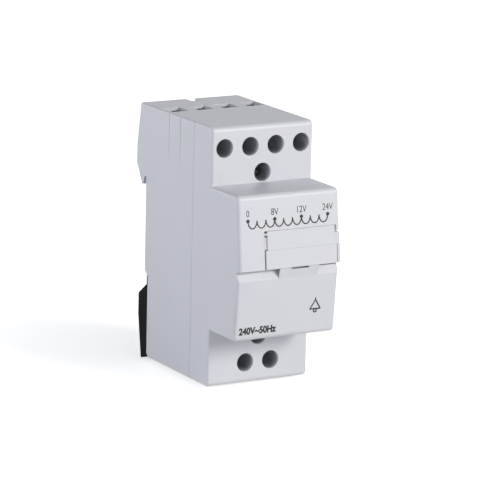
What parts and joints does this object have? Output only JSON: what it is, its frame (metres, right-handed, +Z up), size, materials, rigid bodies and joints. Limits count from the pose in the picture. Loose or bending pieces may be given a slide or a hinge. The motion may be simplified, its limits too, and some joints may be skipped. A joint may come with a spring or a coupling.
{
  "type": "bell transformer",
  "caption": "Rail-mounted bell transformer: pale grey stepped housing with a hinged label flap, screw clamp terminals above and below, and a black sliding rail clip.",
  "frame": {"origin": "middle of the rail's front face, on the rail seat", "axes": "+X along the rail to the right seen from the front, +Y towards the rail, +Z up"},
  "size_m": [0.035, 0.0672, 0.0822],
  "materials": {
    "grey_plastic": "semi-gloss",
    "black_plastic": "satin",
    "former_plastic": "satin",
    "core_steel": "rolled sheet",
    "taped_winding": "polyester tape over enamelled wire",
    "link_case": "satin",
    "lead_sleeve": "gloss",
    "brass_bar": "stamped",
    "plated_steel": "zinc plated"
  },
  "bodies": {
    "housing": {"rear_base": "grey_plastic", "front_cover": "grey_plastic", "e_laminations": "core_steel", "i_laminations": "core_steel", "bobbin": "former_plastic", "primary_winding": "taped_winding", "secondary_winding": "taped_winding", "thermal_link": "link_case", "tap_lead_1": "lead_sleeve", "tap_lead_2": "lead_sleeve", "tap_lead_3": "lead_sleeve", "tap_lead_4": "lead_sleeve", "mains_lead_1": "lead_sleeve", "mains_lead_2": "lead_sleeve", "tap_bar_1": "brass_bar", "tap_bar_2": "brass_bar", "tap_bar_3": "brass_bar", "tap_bar_4": "brass_bar", "mains_bar_1": "brass_bar", "mains_bar_2": "brass_bar", "fixing_screw_1": "plated_steel", "fixing_screw_2": "plated_steel"},
    "label_flap": {"label_flap": "grey_plastic"},
    "rail_clip": {"rail_clip": "black_plastic"},
    "tap_screw_1": {"tap_screw_1": "plated_steel"},
    "tap_cage_1": {"tap_cage_1": "plated_steel"},
    "tap_screw_2": {"tap_screw_2": "plated_steel"},
    "tap_cage_2": {"tap_cage_2": "plated_steel"},
    "tap_screw_3": {"tap_screw_3": "plated_steel"},
    "tap_cage_3": {"tap_cage_3": "plated_steel"},
    "tap_screw_4": {"tap_screw_4": "plated_steel"},
    "tap_cage_4": {"tap_cage_4": "plated_steel"},
    "mains_screw_1": {"mains_screw_1": "plated_steel"},
    "mains_cage_1": {"mains_cage_1": "plated_steel"},
    "mains_screw_2": {"mains_screw_2": "plated_steel"},
    "mains_cage_2": {"mains_cage_2": "plated_steel"}
  },
  "joints": [
    {"name": "flap_hinge", "type": "hinge", "parent": "housing", "child": "label_flap", "pos_m": [0, -0.05904, 0.0102], "axis": [-1, 0, 0], "range_deg": [0, 105]},
    {"name": "clip_slide", "type": "slide", "parent": "housing", "child": "rail_clip", "axis": [0, 0, -1], "range_m": [0, 0.0035], "stiffness_N_per_m": 1500, "springref_m": -0.002},
    {"name": "tap_screw_1_turn", "type": "hinge", "parent": "housing", "child": "tap_screw_1", "pos_m": [-0.01335, -0.025, 0.0339], "axis": [0, 1, 0], "range_deg": [0, 2060]},
    {"name": "tap_cage_1_lift", "type": "slide", "parent": "housing", "child": "tap_cage_1", "axis": [0, -1, 0], "range_m": [0, 0.004]},
    {"name": "tap_screw_2_turn", "type": "hinge", "parent": "housing", "child": "tap_screw_2", "pos_m": [-0.00445, -0.025, 0.0339], "axis": [0, 1, 0], "range_deg": [0, 2060]},
    {"name": "tap_cage_2_lift", "type": "slide", "parent": "housing", "child": "tap_cage_2", "axis": [0, -1, 0], "range_m": [0, 0.004]},
    {"name": "tap_screw_3_turn", "type": "hinge", "parent": "housing", "child": "tap_screw_3", "pos_m": [0.00445, -0.025, 0.0339], "axis": [0, 1, 0], "range_deg": [0, 2060]},
    {"name": "tap_cage_3_lift", "type": "slide", "parent": "housing", "child": "tap_cage_3", "axis": [0, -1, 0], "range_m": [0, 0.004]},
    {"name": "tap_screw_4_turn", "type": "hinge", "parent": "housing", "child": "tap_screw_4", "pos_m": [0.01335, -0.025, 0.0339], "axis": [0, 1, 0], "range_deg": [0, 2060]},
    {"name": "tap_cage_4_lift", "type": "slide", "parent": "housing", "child": "tap_cage_4", "axis": [0, -1, 0], "range_m": [0, 0.004]},
    {"name": "mains_screw_1_turn", "type": "hinge", "parent": "housing", "child": "mains_screw_1", "pos_m": [-0.00445, -0.025, -0.0339], "axis": [0, 1, 0], "range_deg": [0, 2060]},
    {"name": "mains_cage_1_lift", "type": "slide", "parent": "housing", "child": "mains_cage_1", "axis": [0, -1, 0], "range_m": [0, 0.004]},
    {"name": "mains_screw_2_turn", "type": "hinge", "parent": "housing", "child": "mains_screw_2", "pos_m": [0.00445, -0.025, -0.0339], "axis": [0, 1, 0], "range_deg": [0, 2060]},
    {"name": "mains_cage_2_lift", "type": "slide", "parent": "housing", "child": "mains_cage_2", "axis": [0, -1, 0], "range_m": [0, 0.004]}
  ],
  "couplings": [
    {"joint": "tap_screw_1_turn", "follows": "tap_cage_1_lift", "rad_per_m": 8976},
    {"joint": "tap_screw_2_turn", "follows": "tap_cage_2_lift", "rad_per_m": 8976},
    {"joint": "tap_screw_3_turn", "follows": "tap_cage_3_lift", "rad_per_m": 8976},
    {"joint": "tap_screw_4_turn", "follows": "tap_cage_4_lift", "rad_per_m": 8976},
    {"joint": "mains_screw_1_turn", "follows": "mains_cage_1_lift", "rad_per_m": 8976},
    {"joint": "mains_screw_2_turn", "follows": "mains_cage_2_lift", "rad_per_m": 8976}
  ]
}
